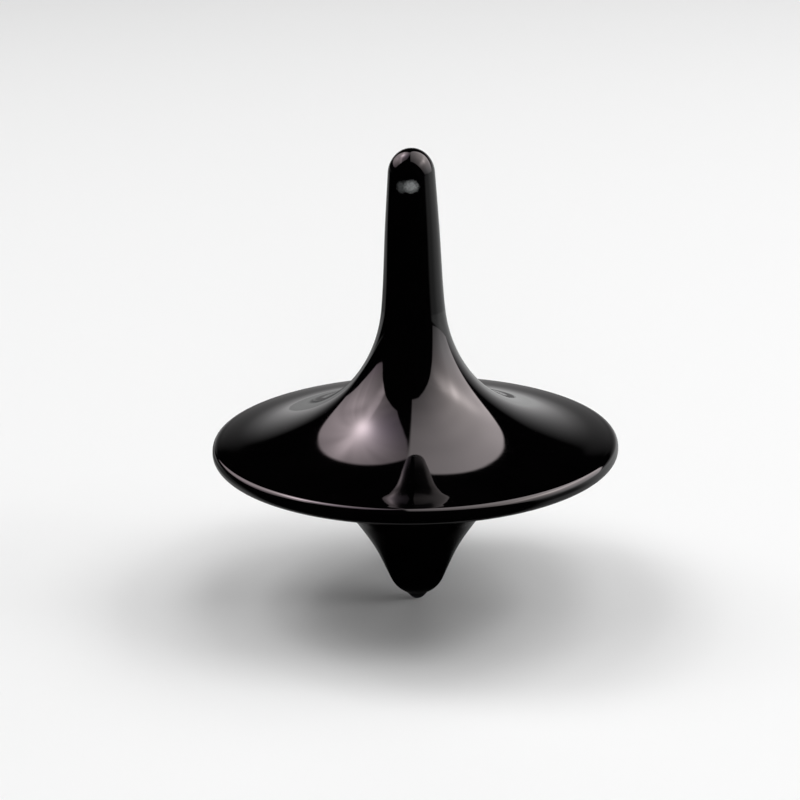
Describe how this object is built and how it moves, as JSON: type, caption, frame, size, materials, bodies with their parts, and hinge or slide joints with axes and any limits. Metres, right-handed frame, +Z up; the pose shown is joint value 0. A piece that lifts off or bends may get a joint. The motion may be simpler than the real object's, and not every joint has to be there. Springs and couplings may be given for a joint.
{
  "type": "spinning top",
  "caption": "Small metal finger top: a domed stem flares into a saucer-shaped flywheel, with a short nose cone below that carries a captive ball tip.",
  "frame": {"origin": "the point where the ball tip touches the table, under the centre of the top", "axes": "+Z up along the spin axis, from the ball tip to the crown of the stem"},
  "size_m": [0.03, 0.03, 0.0346],
  "materials": {
    "black_gloss": "polished",
    "hardened_steel": "satin",
    "black_ceramic": "polished"
  },
  "bodies": {
    "tip": {"tip_ball": "black_ceramic"},
    "top": {"stem": "black_gloss", "flywheel": "black_gloss", "nose_cone": "black_gloss", "ball_seat": "hardened_steel"}
  },
  "joints": [
    {"name": "spin", "type": "hinge", "parent": "tip", "child": "top", "pos_m": [0, 0, 0.00075], "axis": [0, 0, 1], "continuous": true}
  ]
}
